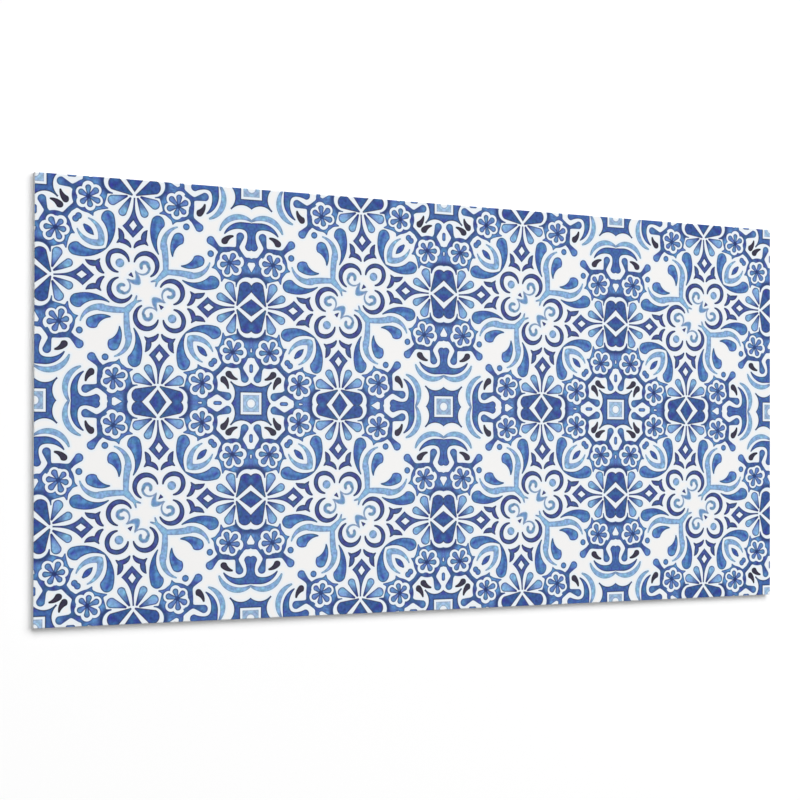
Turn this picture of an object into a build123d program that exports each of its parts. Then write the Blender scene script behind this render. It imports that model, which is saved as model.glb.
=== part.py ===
"""Peel and stick wall panel: one flat sheet of foamed PVC, cut to size and printed on its face.

The sheet lies on its self-adhesive back with the printed face up.
Origin: middle of the back face. X runs along the panel, Y up its short side, Z out of the printed face.
"""

import os

from build123d import *

# Driving dimensions, in millimetres
panel_length = 600.0     # long side, along X
panel_height = 300.0     # short side, along Y
panel_thickness = 5.0    # board, adhesive coat and release liner together
face_arris = 0.4         # small bevel that eases the four edges of the printed face

# The sheet: its outline is drawn on the back face and pulled up to the printed face
with BuildPart() as panel:
    with BuildSketch(Plane.XY) as outline:
        Rectangle(panel_length, panel_height)
    extrude(amount=panel_thickness)

    # Only the rim of the face is eased: the back keeps its sharp edge, where the liner ends flush
    printed_face = panel.faces().sort_by(Axis.Z)[-1]
    chamfer(printed_face.edges(), length=face_arris)

panel.part.label = "panel"

os.makedirs("parts", exist_ok=True)
export_step(panel.part, "parts/panel.step")
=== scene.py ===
"""A peel and stick wall panel: one stiff sheet, printed with a blue and white tile ornament."""

import math

import bmesh
import bpy
from mathutils import Matrix, Vector


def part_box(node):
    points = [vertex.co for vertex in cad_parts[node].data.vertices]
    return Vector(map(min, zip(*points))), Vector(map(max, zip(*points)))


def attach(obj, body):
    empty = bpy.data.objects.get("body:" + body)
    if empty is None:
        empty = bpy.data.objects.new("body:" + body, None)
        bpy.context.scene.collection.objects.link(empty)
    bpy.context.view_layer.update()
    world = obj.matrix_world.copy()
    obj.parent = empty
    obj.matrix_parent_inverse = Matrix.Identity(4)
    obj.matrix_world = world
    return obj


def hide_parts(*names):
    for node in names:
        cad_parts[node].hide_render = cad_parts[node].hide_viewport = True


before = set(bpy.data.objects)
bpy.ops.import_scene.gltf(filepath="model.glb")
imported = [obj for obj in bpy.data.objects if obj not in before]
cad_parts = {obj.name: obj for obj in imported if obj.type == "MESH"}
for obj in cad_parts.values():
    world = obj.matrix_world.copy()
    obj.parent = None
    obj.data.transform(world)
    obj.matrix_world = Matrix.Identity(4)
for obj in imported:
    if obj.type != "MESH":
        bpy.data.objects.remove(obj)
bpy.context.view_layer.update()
bpy.context.scene.view_settings.view_transform = "Standard"


# The board
# One stiff sheet of foamed PVC, cut square, with the printed film on its face and the liner
# on its back. The face has a fine rounded rim, and the four sides stay as cut.
low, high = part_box("panel")
board_size = high - low
board_middle = (low + high) / 2
rim_width = 0.0004
rim_steps = 2

bpy.ops.object.select_all(action="DESELECT")
bpy.ops.mesh.primitive_cube_add(size=1.0, location=board_middle)
board = bpy.context.object
board.name = "wall_panel"
board.data.name = "wall_panel"
board.scale = board_size
bpy.ops.object.transform_apply(location=True, rotation=True, scale=True)

bpy.ops.object.mode_set(mode="EDIT")
bpy.ops.mesh.select_mode(type="EDGE")
bpy.ops.mesh.select_all(action="DESELECT")
shape = bmesh.from_edit_mesh(board.data)
for edge in shape.edges:
    edge.select = all(corner.co.z > board_middle.z for corner in edge.verts)
bmesh.update_edit_mesh(board.data)
bpy.ops.mesh.bevel(offset=rim_width, segments=rim_steps, affect="EDGES")
bpy.ops.object.mode_set(mode="OBJECT")


# The board's three finishes
# The printed film covers the face and its rim, the sides are bare board, and the back is the liner.
# The map gives nearly all of its room to the face, because the print has the fine detail.
film = bpy.data.materials.new("printed_film")
bare_board = bpy.data.materials.new("cut_board")
liner = bpy.data.materials.new("release_liner")
for finish in (film, bare_board, liner):
    finish.use_nodes = True
    board.data.materials.append(finish)

face_tilt = 0.2
back_tilt = -0.99
face_share = 0.93
back_start = 0.001
back_share = 0.04
side_start = 0.043
side_share = 0.006
side_fill = 0.8
layout = board.data.uv_layers.new(name="OFBake")
for face in board.data.polygons:
    if face.normal.z > face_tilt:
        face.material_index = 0
    elif face.normal.z < back_tilt:
        face.material_index = 2
    else:
        face.material_index = 1
    for loop in face.loop_indices:
        corner = board.data.vertices[board.data.loops[loop].vertex_index].co
        across = (corner.x - low.x) / board_size.x
        along = (corner.y - low.y) / board_size.y
        height = (corner.z - low.z) / board_size.z
        if face.material_index == 0:
            spot = (across, 1.0 - face_share + along * face_share)
        elif face.material_index == 2:
            spot = (across, back_start + along * back_share)
        elif abs(face.normal.y) > abs(face.normal.x):
            strip = 0 if face.normal.y > 0 else 1
            spot = (across, side_start + (strip + height * side_fill) * side_share)
        else:
            strip = 2 if face.normal.x > 0 else 3
            spot = (along, side_start + (strip + height * side_fill) * side_share)
        layout.data[loop].uv = spot


# The print's brushwork
# The ornament is painted with a round brush, and each mark is one stroke, curl or dab of it.
# A mark's depth is how far a spot lies inside its edge, in tile sides, and is negative outside.
def add_node(tree, kind, *values, **settings):
    """One node, with its settings, and its inputs in order as values or links."""
    made = tree.nodes.new(kind)
    for name, value in settings.items():
        setattr(made, name, value)
    for socket, value in zip(made.inputs, values):
        give(tree, socket, value)
    return made


def give(tree, socket, value):
    """Sets a socket to a value, or links it to another node's output."""
    if isinstance(value, bpy.types.NodeSocket):
        tree.links.new(value, socket)
    elif value is not None:
        socket.default_value = value


def sums(tree, operation, *values):
    return add_node(tree, "ShaderNodeMath", *values, operation=operation).outputs[0]


def vectors(tree, operation, *values):
    made = add_node(tree, "ShaderNodeVectorMath", *values, operation=operation)
    plain = operation in ("DOT_PRODUCT", "LENGTH", "DISTANCE")
    return made.outputs["Value" if plain else "Vector"]


def held(tree, value, lowest, highest):
    return add_node(tree, "ShaderNodeClamp", value, lowest, highest).outputs[0]


def new_group(name, takes, gives):
    """A node group with named sockets, its input sockets and its output sockets."""
    kinds = {"v": "NodeSocketVector", "f": "NodeSocketFloat", "c": "NodeSocketColor"}
    tree = bpy.data.node_groups.new(name, "ShaderNodeTree")
    for label, kind in takes:
        tree.interface.new_socket(label, in_out="INPUT", socket_type=kinds[kind])
    for label, kind in gives:
        tree.interface.new_socket(label, in_out="OUTPUT", socket_type=kinds[kind])
    inner = tree.nodes.new("NodeGroupInput").outputs
    outer = tree.nodes.new("NodeGroupOutput").inputs
    return tree, inner, outer


def use_group(tree, name, **values):
    """A group placed in a tree, with its inputs by name, where _ stands for a space."""
    made = tree.nodes.new("ShaderNodeGroup")
    made.node_tree = bpy.data.node_groups[name]
    for label, value in values.items():
        give(tree, made.inputs[label.replace("_", " ")], value)
    return made


def straight_mark_group():
    """A mark from Start to End, as wide as the brush is pressed on the way."""
    takes = [("Place", "v"), ("Start", "v"), ("End", "v")]
    takes += [("Wide", "f"), ("Tip", "f"), ("Belly", "f")]
    tree, take, put = new_group("straight_mark", takes, [("Depth", "f")])
    chord = vectors(tree, "SUBTRACT", take["End"], take["Start"])
    reach = vectors(tree, "DOT_PRODUCT", chord, chord)
    away = vectors(tree, "SUBTRACT", take["Place"], take["Start"])
    run = sums(tree, "DIVIDE", vectors(tree, "DOT_PRODUCT", away, chord), reach)
    run = held(tree, run, 0.0, 1.0)
    step = add_node(tree, "ShaderNodeVectorMath", chord, operation="SCALE")
    give(tree, step.inputs["Scale"], run)
    gap = vectors(tree, "DISTANCE", away, step.outputs[0])
    swell = sums(tree, "MULTIPLY", take["Belly"], 4.0)
    taper = sums(tree, "ADD", sums(tree, "SUBTRACT", take["Tip"], take["Wide"]), swell)
    press = sums(tree, "SUBTRACT", taper, sums(tree, "MULTIPLY", swell, run))
    width = sums(tree, "MULTIPLY_ADD", press, run, take["Wide"])
    tree.links.new(sums(tree, "SUBTRACT", width, gap), put["Depth"])


def bent_mark_group():
    """A mark along part of a circle, which may open out into a spiral by Spread."""
    takes = [("Place", "v"), ("Centre", "v"), ("Along", "v"), ("Out", "v")]
    takes += [("Radius", "f"), ("Half turn", "f"), ("Wide", "f"), ("Tip", "f")]
    takes += [("Belly", "f"), ("Spread", "f")]
    tree, take, put = new_group("bent_mark", takes, [("Depth", "f")])
    away = vectors(tree, "SUBTRACT", take["Place"], take["Centre"])
    side = vectors(tree, "DOT_PRODUCT", away, take["Along"])
    front = vectors(tree, "DOT_PRODUCT", away, take["Out"])
    turn = sums(tree, "ARCTAN2", side, front)
    run = held(tree, sums(tree, "DIVIDE", turn, take["Half turn"]), -1.0, 1.0)
    past = sums(tree, "SUBTRACT", turn, sums(tree, "MULTIPLY", run, take["Half turn"]))
    past = sums(tree, "MULTIPLY", past, take["Radius"])
    path = sums(tree, "MULTIPLY_ADD", run, take["Spread"], take["Radius"])
    off = sums(tree, "SUBTRACT", vectors(tree, "LENGTH", away), path)
    both = add_node(tree, "ShaderNodeCombineXYZ", past, off).outputs[0]
    gap = vectors(tree, "LENGTH", both)
    lean = sums(tree, "MULTIPLY", sums(tree, "SUBTRACT", take["Tip"], take["Wide"]), 0.5)
    mean = sums(tree, "MULTIPLY", sums(tree, "ADD", take["Tip"], take["Wide"]), 0.5)
    full = sums(tree, "ADD", mean, take["Belly"])
    press = sums(tree, "SUBTRACT", lean, sums(tree, "MULTIPLY", run, take["Belly"]))
    width = sums(tree, "MULTIPLY_ADD", press, run, full)
    tree.links.new(sums(tree, "SUBTRACT", width, gap), put["Depth"])


def round_dab_group():
    """A dab of the brush's point."""
    takes = [("Place", "v"), ("Middle", "v"), ("Radius", "f")]
    tree, take, put = new_group("round_dab", takes, [("Depth", "f")])
    gap = vectors(tree, "DISTANCE", take["Place"], take["Middle"])
    tree.links.new(sums(tree, "SUBTRACT", take["Radius"], gap), put["Depth"])


straight_mark_group()
bent_mark_group()
round_dab_group()


def flat(spot):
    return (spot[0], spot[1], 0.0)


def stroke(start, end, wide, tip, belly=0.0, bow=0.0):
    """A stroke, with its half widths at the two ends, bowed to one side."""
    press = dict(Wide=wide, Tip=tip, Belly=belly)
    if bow == 0.0:
        return "straight_mark", dict(Start=flat(start), End=flat(end), **press)
    chord = Vector(end) - Vector(start)
    along = chord.normalized()
    out = Vector((-along.y, along.x)) * math.copysign(1.0, bow)
    radius = (chord.length_squared / 4 + bow * bow) / (2 * abs(bow))
    centre = (Vector(start) + Vector(end)) / 2 + out * (abs(bow) - radius)
    turn = math.asin(chord.length / 2 / radius)
    round_it = dict(Centre=flat(centre), Along=flat(along), Out=flat(out))
    return "bent_mark", dict(**round_it, Radius=radius, Half_turn=turn, **press)


def curl(centre, radius, first, last, wide, tip, belly=0.0, spread=0.0):
    """A stroke round a centre, from one angle to another, in degrees."""
    middle = math.radians((first + last) / 2)
    out = (math.cos(middle), math.sin(middle), 0.0)
    along = (-math.sin(middle), math.cos(middle), 0.0)
    turn = math.radians(last - first) / 2
    round_it = dict(Centre=flat(centre), Along=along, Out=out, Radius=radius)
    return "bent_mark", dict(
        **round_it, Half_turn=turn, Wide=wide, Tip=tip, Belly=belly, Spread=spread
    )


def dab(middle, radius):
    return "round_dab", dict(Middle=flat(middle), Radius=radius)


def motif(name, marks, merge=0.0):
    """A group that puts out the depth of several marks together."""
    tree, take, put = new_group(name, [("Place", "v")], [("Depth", "f")])
    depth = None
    for kind, values in marks:
        one = use_group(tree, kind, Place=take["Place"], **values).outputs[0]
        if depth is None:
            depth = one
        elif merge:
            depth = sums(tree, "SMOOTH_MAX", depth, one, merge)
        else:
            depth = sums(tree, "MAXIMUM", depth, one)
    tree.links.new(depth, put["Depth"])


# The ornament's motifs
# All of them lie in one eighth of a tile, a triangle with its long side from corner to corner.
# The rest of the sheet is this triangle turned over and over, as on a tiled wall.
flower_one = (0.2365, 0.0905)
flower_two = (0.6490, 0.1070)
petal_root = 0.004
petals = [
    stroke((0.2355, 0.0510), flower_one, 0.0128, petal_root),
    stroke((0.2690, 0.0630), flower_one, 0.0144, petal_root),
    stroke((0.2770, 0.1070), flower_one, 0.0134, petal_root),
    stroke((0.2435, 0.1250), flower_one, 0.0132, petal_root),
    stroke((0.2115, 0.1135), flower_one, 0.0128, petal_root),
    stroke((0.2050, 0.0730), flower_one, 0.0138, petal_root),
    stroke((0.6525, 0.0665), flower_two, 0.0136, petal_root),
    stroke((0.6815, 0.0895), flower_two, 0.0142, petal_root),
    stroke((0.6735, 0.1300), flower_two, 0.0128, petal_root),
    stroke((0.6400, 0.1390), flower_two, 0.0134, petal_root),
    stroke((0.6085, 0.1180), flower_two, 0.0142, petal_root),
    stroke((0.6180, 0.0760), flower_two, 0.0138, petal_root),
]
motif("flower_petals", petals)
motif("flower_hearts", [dab(flower_one, 0.011), dab(flower_two, 0.011)])
ring_marks = [
    dab((0.2355, 0.0490), 0.0168),
    dab((0.2690, 0.0610), 0.0150),
    dab((0.2440, 0.1290), 0.0135),
    dab((0.2085, 0.1150), 0.0148),
    dab((0.6560, 0.0650), 0.0175),
    dab((0.6190, 0.0740), 0.0150),
    dab((0.6400, 0.1430), 0.0138),
]
motif("ring_reach", ring_marks)

ribbon_marks = [
    dab((0.2370, 0.0872), 0.0745),
    stroke((0.1150, 0.0312), (0.1660, 0.0500), 0.0188, 0.0062),
    stroke((0.2050, 0.0330), (0.1670, 0.0510), 0.0110, 0.0090),
    stroke((0.1800, 0.1310), (0.1530, 0.1530), 0.0132, 0.0110),
    stroke((0.2430, 0.1470), (0.2560, 0.1722), 0.0194, 0.0032),
    stroke((0.2880, 0.1320), (0.3220, 0.1370), 0.0150, 0.0030),
    stroke((0.3000, 0.0450), (0.3430, 0.0685), 0.0300, 0.0030),
    stroke((0.3000, 0.0780), (0.2930, 0.1150), 0.0200, 0.0160),
    stroke((0.2350, 0.0100), (0.3050, 0.0100), 0.0230, 0.0260),
    dab((0.6475, 0.1045), 0.0730),
    stroke((0.7738, 0.0548), (0.7210, 0.0690), 0.0188, 0.0060),
    stroke((0.7210, 0.0680), (0.6860, 0.0490), 0.0072, 0.0085),
    stroke((0.7474, 0.1970), (0.7112, 0.1580), 0.0198, 0.0094, -0.001),
    stroke((0.7108, 0.1600), (0.7115, 0.0850), 0.0092, 0.0112),
    stroke((0.6302, 0.1645), (0.6232, 0.1890), 0.0188, 0.0025),
    stroke((0.6400, 0.1588), (0.7000, 0.1456), 0.0148, 0.0118),
    stroke((0.5950, 0.1380), (0.5635, 0.1445), 0.0140, 0.0030),
    stroke((0.5870, 0.0500), (0.5420, 0.0740), 0.0300, 0.0030),
    stroke((0.5836, 0.0800), (0.5926, 0.1200), 0.0200, 0.0160),
    stroke((0.5850, 0.0120), (0.6540, 0.0140), 0.0260, 0.0235),
    stroke((0.6600, 0.0300), (0.6880, 0.0530), 0.0150, 0.0095),
]
motif("flower_ribbons", ribbon_marks, merge=0.012)
motif("ribbon_dots", [dab((0.2055, 0.0375), 0.0048), dab((0.6830, 0.0555), 0.0050)])
motif("cartouche", [dab((0.3555, 0.0165), 0.0506), dab((0.5338, 0.0202), 0.0528)])
motif("shield_gap", [stroke((0.6425, 0.0), (0.6115, 0.0), 0.0192, 0.0012)])
motif("lens_gap", [stroke((0.2420, 0.0), (0.2540, 0.0), 0.0045, 0.0025)])

leaf_marks = [
    stroke((0.3240, 0.1790), (0.3160, 0.3165), 0.0308, 0.0025, -0.0010, -0.0185),
    stroke((0.5540, 0.1885), (0.5562, 0.3295), 0.0318, 0.0025, -0.0018, 0.0190),
    stroke((0.6490, 0.2565), (0.6220, 0.3350), 0.0282, 0.0030, -0.0005, 0.0100),
    stroke((0.2190, 0.2190), (0.2592, 0.2592), 0.0060, 0.0020, 0.0094),
    dab((0.1925, 0.1795), 0.0145),
    dab((0.6865, 0.1975), 0.0150),
    stroke((0.1510, 0.0), (0.1740, 0.0), 0.0085, 0.0085),
]
motif("leaves", leaf_marks)
glaze_marks = [
    stroke((0.3250, 0.1650), (0.3400, 0.2150), 0.0035, 0.0030, 0.001, -0.0040),
    stroke((0.3400, 0.2150), (0.3250, 0.2950), 0.0050, 0.0060, 0.004, -0.0100),
    stroke((0.5500, 0.1650), (0.5350, 0.2150), 0.0035, 0.0030, 0.001, 0.0040),
    stroke((0.5350, 0.2150), (0.5500, 0.3050), 0.0050, 0.0060, 0.004, 0.0100),
    stroke((0.6420, 0.2700), (0.6240, 0.3300), 0.0060, 0.0040),
    stroke((0.2190, 0.2190), (0.2590, 0.2590), 0.0100, 0.0100),
]
motif("leaf_glaze", glaze_marks)
lobe_marks = [
    dab((0.1150, 0.0310), 0.0080),
    dab((0.7730, 0.0545), 0.0080),
    dab((0.7480, 0.1980), 0.0160),
]
motif("ribbon_lobes", lobe_marks)
bracket_marks = [
    stroke((0.8075, -0.002), (0.7845, 0.1302), 0.0182, 0.0028, 0.004, -0.0281),
    stroke((0.7280, 0.0120), (0.8150, 0.0050), 0.0188, 0.0212, -0.0085),
]
motif("brackets", bracket_marks, merge=0.028)

stem_marks = [
    stroke((0.2370, 0.1870), (0.2925, 0.2925), 0.0025, 0.0150, 0.002, -0.0220),
    stroke((0.6430, 0.2020), (0.5810, 0.3000), 0.0030, 0.0158, 0.001, 0.0218),
    stroke((0.5815, 0.2900), (0.5901, 0.4000), 0.0155, 0.0122, 0.000, -0.0030),
    stroke((0.5895, 0.4100), (0.5530, 0.4480), 0.0160, 0.0092),
    stroke((0.5530, 0.4470), (0.5240, 0.4560), 0.0070, 0.0030),
    stroke((0.8462, -0.002), (0.7985, 0.1525), 0.0040, 0.0043, 0.0090, -0.0400),
    dab((0.3790, 0.3790), 0.0195),
]
motif("pale_stems", stem_marks)

motif(
    "deep_petals",
    [
        stroke((0.3575, 0.0235), (0.4320, 0.0685), 0.0322, 0.0042),
        stroke((0.5330, 0.0294), (0.4560, 0.0690), 0.0329, 0.0042),
    ],
)
motif(
    "shaded_petals",
    [
        stroke((0.3462, 0.0985), (0.4090, 0.0772), 0.0232, 0.0048),
        stroke((0.5388, 0.1062), (0.4765, 0.0780), 0.0226, 0.0048),
        stroke((0.3905, 0.1490), (0.4258, 0.0855), 0.0186, 0.0046, 0.001),
        stroke((0.4908, 0.1505), (0.4606, 0.0860), 0.0186, 0.0046, 0.001),
    ],
)

wing_marks = [
    stroke((0.3732, 0.2255), (0.3845, 0.2745), 0.0028, 0.0105, 0.0058, -0.0058),
    stroke((0.3850, 0.2788), (0.4268, 0.3046), 0.0105, 0.0040, 0.0036, -0.0072),
    stroke((0.3835, 0.2740), (0.3658, 0.2878), 0.0122, 0.0024),
    stroke((0.5028, 0.2275), (0.4888, 0.2755), 0.0028, 0.0105, 0.0058, 0.0058),
    stroke((0.4882, 0.2798), (0.4452, 0.3056), 0.0105, 0.0040, 0.0036, 0.0072),
    stroke((0.4885, 0.2760), (0.5062, 0.2928), 0.0122, 0.0024),
    curl((0.3695, 0.3778), 0.0526, 226, 351, 0.0094, 0.0034, 0.0037, -0.0015),
    curl((0.4960, 0.3835), 0.0539, 194, 422, 0.0030, 0.0036, 0.0086, 0.0014),
]
motif("wings_and_crescents", wing_marks)
motif("wedge", [stroke((0.4265, 0.4265), (0.4390, 0.4390), 0.0088, 0.0015)])

drop_marks = [
    stroke((0.1345, 0.1085), (0.1120, 0.0695), 0.0156, 0.0040, 0.000, -0.0040),
    stroke((0.7495, 0.1300), (0.7735, 0.0915), 0.0158, 0.0045, 0.000, 0.0045),
]
motif("ink_drops", drop_marks)

scroll_marks = [
    stroke((0.4510, 0.4170), (0.4600, 0.4600), 0.0030, 0.0150, 0.000, -0.0045),
    curl((0.4928, 0.3887), 0.0168, 152, 365, 0.0070, 0.0080, 0.0012),
    curl((0.4932, 0.3888), 0.0325, 0, 150, 0.0080, 0.0020, 0.000, 0.0155),
]
motif("scrolls", scroll_marks)


def tile_fold_group():
    """Where a spot of the sheet lies in the triangle, from the sheet's corner."""
    tree, take, put = new_group("tile_fold", [("Spot", "v")], [("Place", "v")])
    parts = add_node(tree, "ShaderNodeSeparateXYZ", take["Spot"]).outputs
    across = sums(tree, "PINGPONG", parts["X"], 1.0)
    down = sums(tree, "PINGPONG", parts["Y"], 1.0)
    far = sums(tree, "MAXIMUM", across, down)
    near = sums(tree, "MINIMUM", across, down)
    over = sums(tree, "SUBTRACT", sums(tree, "ADD", far, near), 1.0)
    over = sums(tree, "MAXIMUM", over, 0.0)
    far = sums(tree, "SUBTRACT", far, over)
    near = sums(tree, "SUBTRACT", near, over)
    place = add_node(tree, "ShaderNodeCombineXYZ", far, near).outputs[0]
    tree.links.new(place, put["Place"])


def lozenge(tree, across, down, half_width, half_height):
    """The depth of an upright lozenge, from how far a spot is off its middle."""
    share = sums(tree, "DIVIDE", sums(tree, "ABSOLUTE", across), half_width)
    share = sums(tree, "ADD", share, sums(tree, "DIVIDE", down, half_height))
    slope = half_width * half_height / math.hypot(half_width, half_height)
    return sums(tree, "MULTIPLY_ADD", share, -slope, slope)


def blade_group():
    """The blade below the rosette: a thin stem that flares to a point, with a pale heart."""
    middle = 0.4385
    stem_top = 0.083
    stem_half = 0.003
    stem_lean = 0.05
    flare_length = 0.127
    flare_half = 0.0465
    widest = 0.2125
    point_halves = (0.0472, 0.0502)
    heart_middle = 0.207
    heart_halves = (0.0180, 0.0240)
    tree, take, put = new_group("blade", [("Place", "v")], [("Depth", "f")])
    parts = add_node(tree, "ShaderNodeSeparateXYZ", take["Place"]).outputs
    down = sums(tree, "SUBTRACT", parts["Y"], widest)
    lean = sums(tree, "MULTIPLY", sums(tree, "MINIMUM", down, 0.0), stem_lean)
    across = sums(tree, "ADD", sums(tree, "SUBTRACT", parts["X"], middle), lean)
    across = sums(tree, "ABSOLUTE", across)
    run = held(tree, sums(tree, "MULTIPLY_ADD", down, 1 / flare_length, 1.0), 0.0, 1.0)
    flare = sums(tree, "MULTIPLY_ADD", sums(tree, "POWER", run, 3.0), flare_half, stem_half)
    body = sums(tree, "SUBTRACT", flare, across)
    body = sums(tree, "MINIMUM", body, sums(tree, "SUBTRACT", parts["Y"], stem_top))
    body = sums(tree, "MINIMUM", body, lozenge(tree, across, down, *point_halves))
    down = sums(tree, "ABSOLUTE", sums(tree, "SUBTRACT", parts["Y"], heart_middle))
    heart = lozenge(tree, across, down, *heart_halves)
    depth = sums(tree, "MINIMUM", body, sums(tree, "MULTIPLY", heart, -1.0))
    tree.links.new(depth, put["Depth"])


def corner_group():
    """The small square on a tile's corner, and the toothed frame round it."""
    hole_radius = 0.0196
    square_half = 0.0389
    frame_inside = 0.0513
    frame_outside = 0.1092
    bite_middle = (0.148, 0.046, 0.0)
    bite_radius = 0.0688
    tooth_reach = 0.2005
    gives = [("Square", "f"), ("Frame", "f")]
    tree, take, put = new_group("tile_corner", [("Place", "v")], gives)
    parts = add_node(tree, "ShaderNodeSeparateXYZ", take["Place"]).outputs
    across = sums(tree, "MINIMUM", parts["X"], sums(tree, "SUBTRACT", 1.0, parts["X"]))
    down = parts["Y"]
    corner = add_node(tree, "ShaderNodeCombineXYZ", across, down).outputs[0]
    wide = sums(tree, "MAXIMUM", across, down)
    hole = sums(tree, "SUBTRACT", vectors(tree, "LENGTH", corner), hole_radius)
    square = sums(tree, "MINIMUM", sums(tree, "SUBTRACT", square_half, wide), hole)
    tree.links.new(square, put["Square"])
    bite = vectors(tree, "DISTANCE", corner, bite_middle)
    bite = sums(tree, "SUBTRACT", bite, bite_radius)
    band = sums(tree, "MINIMUM", sums(tree, "SUBTRACT", wide, frame_inside), bite)
    band = sums(tree, "MINIMUM", band, sums(tree, "SUBTRACT", frame_outside, wide))
    slant = sums(tree, "SUBTRACT", tooth_reach, sums(tree, "ADD", across, down))
    band = sums(tree, "MINIMUM", band, sums(tree, "MULTIPLY", slant, math.sqrt(0.5)))
    tree.links.new(band, put["Frame"])


tile_fold_group()
blade_group()
corner_group()


# The printed film
# A satin vinyl film with the ornament printed in blues on white, bonded to the board's face.
# Each ink has a darker rim where the paint dried, and a fine mottle, as in watercolour.
def paint(red, green, blue):
    """A colour as read off a paint chart, 0 to 255, in Blender's own scale."""
    scale = []
    for part in (red, green, blue):
        share = part / 255
        scale.append(share / 12.92 if share <= 0.04045 else ((share + 0.055) / 1.055) ** 2.4)
    return (*scale, 1.0)


def ramp(tree, value, first, last):
    """Nothing up to the first value, all of it from the last, and smooth between."""
    made = add_node(tree, "ShaderNodeMapRange", value, first, last, 0.0, 1.0)
    made.interpolation_type = "SMOOTHSTEP"
    return made.outputs[0]


def rescale(tree, value, before, after):
    """A value carried over from one range to another."""
    return add_node(tree, "ShaderNodeMapRange", value, *before, *after).outputs[0]


def blend(tree, share, below, above):
    made = tree.nodes.new("ShaderNodeMix")
    made.data_type = "RGBA"
    give(tree, made.inputs[0], share)
    give(tree, made.inputs[6], below)
    give(tree, made.inputs[7], above)
    return made.outputs[2]


def noise(tree, spot, scale, detail):
    made = add_node(tree, "ShaderNodeTexNoise", spot)
    made.inputs["Scale"].default_value = scale
    made.inputs["Detail"].default_value = detail
    return made.outputs[0]


def relief(tree, height, strength, depth):
    """A fine relief for a shader's normal, with its depth in metres."""
    made = add_node(tree, "ShaderNodeBump")
    made.inputs["Strength"].default_value = strength
    made.inputs["Distance"].default_value = depth
    tree.links.new(height, made.inputs["Height"])
    return made.outputs[0]


def lay_ink_group():
    """One ink laid over what is already printed, within the depth of its marks."""
    edge_outside = -0.0020
    edge_inside = 0.0005
    rim_reach = 0.007
    takes = [("Below", "c"), ("Depth", "f"), ("Body", "c"), ("Rim", "c")]
    takes += [("Mottle", "f"), ("Tint", "f")]
    tree, take, put = new_group("lay_ink", takes, [("Colour", "c")])
    inside = ramp(tree, take["Depth"], 0.0, rim_reach)
    tone = blend(tree, inside, take["Rim"], take["Body"])
    wash = (take["Tint"], 1.0, take["Mottle"], 1.0, tone)
    tone = add_node(tree, "ShaderNodeHueSaturation", *wash).outputs[0]
    cover = ramp(tree, take["Depth"], edge_outside, edge_inside)
    tree.links.new(blend(tree, cover, take["Below"], tone), put["Colour"])


lay_ink_group()

tile_side = board_size.y / 2
tree = film.node_tree
spot = add_node(tree, "ShaderNodeTexCoord").outputs["Object"]
spot = vectors(tree, "SUBTRACT", spot, (low.x, high.y, 0.0))
spot = vectors(tree, "DIVIDE", spot, (tile_side, tile_side, 1.0))
place = use_group(tree, "tile_fold", Spot=spot).outputs[0]
parts = add_node(tree, "ShaderNodeSeparateXYZ", place).outputs

mottle_scale = 52.0
mottle_range = (0.60, 1.40)
tint_scale = 34.0
tint_range = (0.468, 0.532)
tint_shift = (3.7, 1.9, 0.0)
noise_range = (0.25, 0.75)
mottle = rescale(tree, noise(tree, place, mottle_scale, 3.0), noise_range, mottle_range)
aside = vectors(tree, "ADD", place, tint_shift)
tint = rescale(tree, noise(tree, aside, tint_scale, 2.0), noise_range, tint_range)


def depth_of(name, socket=0):
    return use_group(tree, name, Place=place).outputs[socket]


def cut(depth, hole, gap=0.0):
    """A depth with a hole taken out of it, and a gap left round the hole."""
    return sums(tree, "MINIMUM", depth, sums(tree, "SUBTRACT", -gap, hole))


# The ribbons leave a white ring round each flower, and are open at the cartouche and two small gaps.
heart_ring = 0.0285
ring_gap = 0.0115
shield_end = 0.656
flower = depth_of("flower_petals")
cartouche = depth_of("cartouche")
ring = sums(tree, "ADD", depth_of("flower_hearts"), heart_ring)
ring = sums(tree, "MAXIMUM", ring, flower)
ring = sums(tree, "MAXIMUM", ring, depth_of("ring_reach"))
ribbon = cut(depth_of("flower_ribbons"), ring, ring_gap)
ribbon = cut(ribbon, cartouche)
shield = sums(tree, "SUBTRACT", shield_end, parts["X"])
shield = sums(tree, "MINIMUM", depth_of("shield_gap"), shield)
ribbon = cut(ribbon, shield)
ribbon = cut(ribbon, depth_of("lens_gap"))
ribbon = sums(tree, "MAXIMUM", ribbon, depth_of("ribbon_dots"))

# Some inks are washed from one blue to another.
rosette_middle = (0.444, 0.066, 0.0)
off_rosette = sums(tree, "SUBTRACT", parts["X"], rosette_middle[0])
far_out = ramp(tree, sums(tree, "ABSOLUTE", off_rosette), 0.17, 0.27)
ribbon_tone = blend(tree, far_out, paint(86, 127, 190), paint(57, 85, 145))
at_cartouche = ramp(tree, cartouche, -0.034, -0.004)
ribbon_tone = blend(tree, at_cartouche, ribbon_tone, paint(42, 62, 118))
on_lobes = ramp(tree, depth_of("ribbon_lobes"), -0.016, 0.012)
ribbon_tone = blend(tree, on_lobes, ribbon_tone, paint(88, 133, 193))
on_glaze = ramp(tree, depth_of("leaf_glaze"), -0.012, 0.005)
leaf_tone = blend(tree, on_glaze, paint(83, 129, 189), paint(55, 93, 160))
petal_end = ramp(tree, vectors(tree, "DISTANCE", place, rosette_middle), 0.035, 0.095)
petal_tone = blend(tree, petal_end, paint(48, 71, 138), paint(126, 169, 216))

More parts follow.
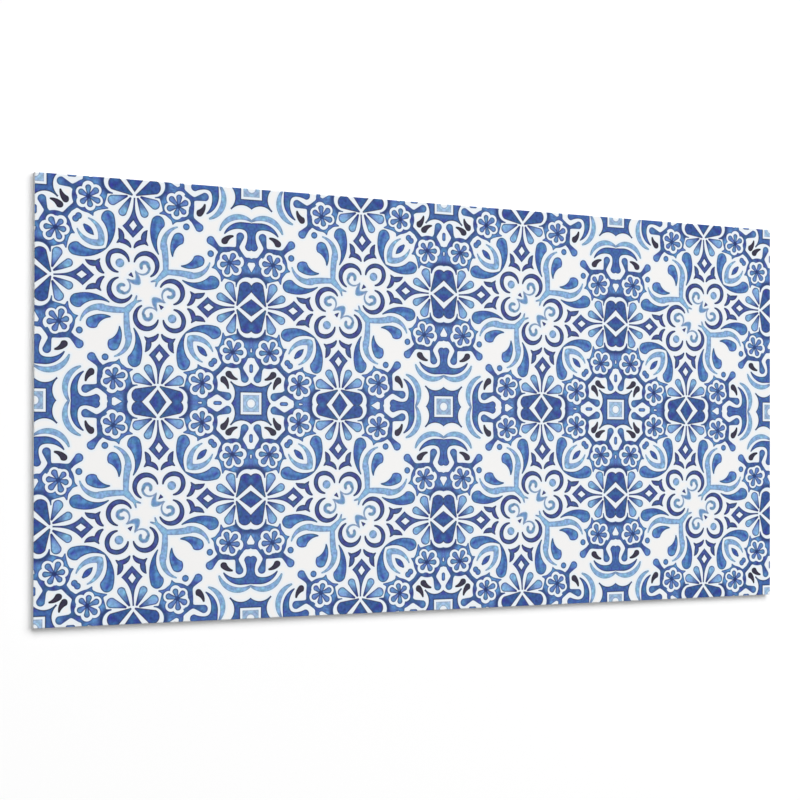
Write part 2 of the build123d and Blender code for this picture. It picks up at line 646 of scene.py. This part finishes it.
# The rosette has a lozenge at its middle, and each pair of crescents a wedge between them.
lozenge_middle = 0.4455
lozenge_halves = (0.0400, 0.0562)
wedge_start = 0.849
off_lozenge = sums(tree, "SUBTRACT", parts["X"], lozenge_middle)
deep = lozenge(tree, off_lozenge, parts["Y"], *lozenge_halves)
deep = sums(tree, "MAXIMUM", depth_of("deep_petals"), deep)
wedge = sums(tree, "SUBTRACT", sums(tree, "ADD", parts["X"], parts["Y"]), wedge_start)
wedge = sums(tree, "MULTIPLY", wedge, math.sqrt(0.5))
wedge = sums(tree, "MINIMUM", depth_of("wedge"), wedge)
wings = sums(tree, "MAXIMUM", depth_of("wings_and_crescents"), wedge)

# Each row is where an ink lies, its body colour and its dried rim.
inks = [
    (ribbon, ribbon_tone, paint(49, 79, 129)),
    (flower, paint(95, 131, 189), paint(29, 54, 108)),
    (depth_of("flower_hearts"), paint(36, 61, 112), paint(40, 67, 120)),
    (depth_of("tile_corner", "Square"), paint(156, 188, 221), paint(150, 167, 195)),
    (depth_of("tile_corner", "Frame"), paint(62, 98, 159), paint(24, 37, 70)),
    (depth_of("leaves"), leaf_tone, paint(36, 58, 103)),
    (depth_of("brackets"), paint(62, 99, 164), paint(32, 49, 97)),
    (depth_of("pale_stems"), paint(132, 173, 214), paint(120, 148, 180)),
    (deep, paint(48, 82, 146), paint(54, 50, 84)),
    (depth_of("shaded_petals"), petal_tone, paint(35, 54, 102)),
    (depth_of("blade"), paint(63, 86, 145), paint(27, 44, 100)),
    (wings, paint(59, 78, 139), paint(25, 31, 73)),
    (depth_of("ink_drops"), paint(47, 42, 66), paint(8, 6, 19)),
    (depth_of("scrolls"), paint(101, 142, 186), paint(140, 161, 189)),
]

# The white is warm in the open and a little blue beside the inks.
nearest = inks[0][0]
for depth, body, rim in inks[1:]:
    nearest = sums(tree, "MAXIMUM", nearest, depth)
beside_ink = ramp(tree, nearest, -0.016, -0.004)
colour = blend(tree, beside_ink, paint(245, 244, 243), paint(234, 242, 249))
for depth, body, rim in inks:
    ink = dict(Below=colour, Depth=depth, Body=body, Rim=rim, Mottle=mottle, Tint=tint)
    colour = use_group(tree, "lay_ink", **ink).outputs[0]

film_grain_scale = 1400.0
film_grain_range = (0.3, 0.7)
film_roughness = (0.30, 0.36)
film_shine = 0.17
spot = add_node(tree, "ShaderNodeTexCoord").outputs["Object"]
grain = noise(tree, spot, film_grain_scale, 2.0)
sheen = rescale(tree, grain, film_grain_range, film_roughness)
normal = relief(tree, grain, 0.25, 0.00004)
shader = tree.nodes["Principled BSDF"]
shader.inputs["Specular IOR Level"].default_value = film_shine
tree.links.new(colour, shader.inputs["Base Color"])
tree.links.new(sheen, shader.inputs["Roughness"])
tree.links.new(normal, shader.inputs["Normal"])


# The bare board at the sides
# Foamed PVC, white all through, with the fine closed cells that a knife opens.
# It is duller than the film.
def plain_stock(material, scale, detail, dark, pale, strength, roughness, shine):
    """A plain stock, with its two tones and its relief from one fine noise."""
    stock_relief = 0.0001
    tree = material.node_tree
    spot = add_node(tree, "ShaderNodeTexCoord").outputs["Object"]
    texture = noise(tree, spot, scale, detail)
    colour = blend(tree, texture, dark, pale)
    normal = relief(tree, texture, strength, stock_relief)
    shader = tree.nodes["Principled BSDF"]
    shader.inputs["Roughness"].default_value = roughness
    shader.inputs["Specular IOR Level"].default_value = shine
    tree.links.new(colour, shader.inputs["Base Color"])
    tree.links.new(normal, shader.inputs["Normal"])


plain_stock(
    bare_board,
    scale=2600.0,
    detail=2.0,
    dark=paint(219, 222, 226),
    pale=paint(238, 240, 242),
    strength=0.5,
    roughness=0.8,
    shine=0.2,
)


# The back
# A sheet of off-white release paper over the glue, peeled off when the panel goes on a wall.
# The paper is coated on its glue side only, so its outer side is a plain, slightly woolly sheet.
plain_stock(
    liner,
    scale=420.0,
    detail=5.0,
    dark=paint(222, 221, 214),
    pale=paint(240, 239, 233),
    strength=0.3,
    roughness=0.6,
    shine=0.3,
)

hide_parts("panel")
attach(board, "root")


# The floor and the light
# A plain white studio floor, which keeps the panel's soft shadow, in a white room. A large soft
# lamp gives that shadow, and a small one the film's sheen. The floor's own glow lights nothing.
white = (1.0, 1.0, 1.0, 1.0)
floor_side = 30.0
floor_white = 0.985
floor_seen = 1.045
room_level = 0.10


def seen_share(tree):
    """1 where a surface is looked at, also in a mirror or through glass, and 0 where it lights."""
    path = add_node(tree, "ShaderNodeLightPath").outputs
    seen = sums(tree, "ADD", path["Is Camera Ray"], path["Is Glossy Ray"])
    return sums(tree, "ADD", seen, path["Is Transmission Ray"])


bpy.ops.object.select_all(action="DESELECT")
bpy.ops.mesh.primitive_plane_add(size=floor_side, location=(0.0, 0.0, low.z))
floor = bpy.context.object
floor.name = "studio_floor"
floor_paint = bpy.data.materials.new("studio_floor")
floor_paint.use_nodes = True
tree = floor_paint.node_tree
tree.nodes.clear()
glow = sums(tree, "MULTIPLY", seen_share(tree), floor_seen - floor_white)
dull = add_node(tree, "ShaderNodeBsdfDiffuse", (floor_white, floor_white, floor_white, 1.0))
light = add_node(tree, "ShaderNodeEmission", white, glow)
both = add_node(tree, "ShaderNodeAddShader", dull.outputs[0], light.outputs[0])
add_node(tree, "ShaderNodeOutputMaterial", both.outputs[0])
floor.data.materials.append(floor_paint)

world = bpy.data.worlds.new("studio")
bpy.context.scene.world = world
world.use_nodes = True
tree = world.node_tree
tree.nodes.clear()
room_light = sums(tree, "MULTIPLY_ADD", seen_share(tree), 1.0 - room_level, room_level)
room = add_node(tree, "ShaderNodeBackground", white, room_light)
add_node(tree, "ShaderNodeOutputWorld", room.outputs[0])


def softbox(name, spot, wide, tall, power, mirrored):
    """A soft lamp that faces the panel's middle, and may show in the film's sheen."""
    bpy.ops.object.light_add(type="AREA", location=spot)
    lamp = bpy.context.object
    lamp.name = name
    lamp.rotation_euler = Vector(spot).to_track_quat("Z", "Y").to_euler()
    lamp.data.shape = "RECTANGLE"
    lamp.data.size = wide
    lamp.data.size_y = tall
    lamp.data.energy = power
    lamp.visible_glossy = mirrored


softbox("large_softbox", (4.40, 9.40, 12.4), wide=24.0, tall=10.4, power=3590.0, mirrored=False)
softbox("small_softbox", (2.55, 0.20, 6.10), wide=1.1, tall=3.0, power=54.0, mirrored=True)


# The camera
# It stands over the panel's left part and looks down across it, level with the long sides.
camera_spot = Vector((-0.4969, -0.0346, 1.0045))
camera_aim = Vector((-0.0351, -0.0272, 0.0050))
camera_roll = 0.0018
camera_data = bpy.data.cameras.new("main_camera")
camera_data.lens = 67.91
camera_data.shift_x = -0.0006
camera_data.shift_y = 0.05405
camera = bpy.data.objects.new("main_camera", camera_data)
bpy.context.collection.objects.link(camera)
bpy.context.scene.camera = camera
ahead = (camera_aim - camera_spot).normalized()
level = ahead.cross(Vector((0.0, 1.0, 0.0))).normalized()
right = Matrix.Rotation(-camera_roll, 3, ahead) @ level
up = right.cross(ahead)
turn = Matrix((right, up, -ahead)).transposed().to_4x4()
camera.matrix_world = Matrix.Translation(camera_spot) @ turn
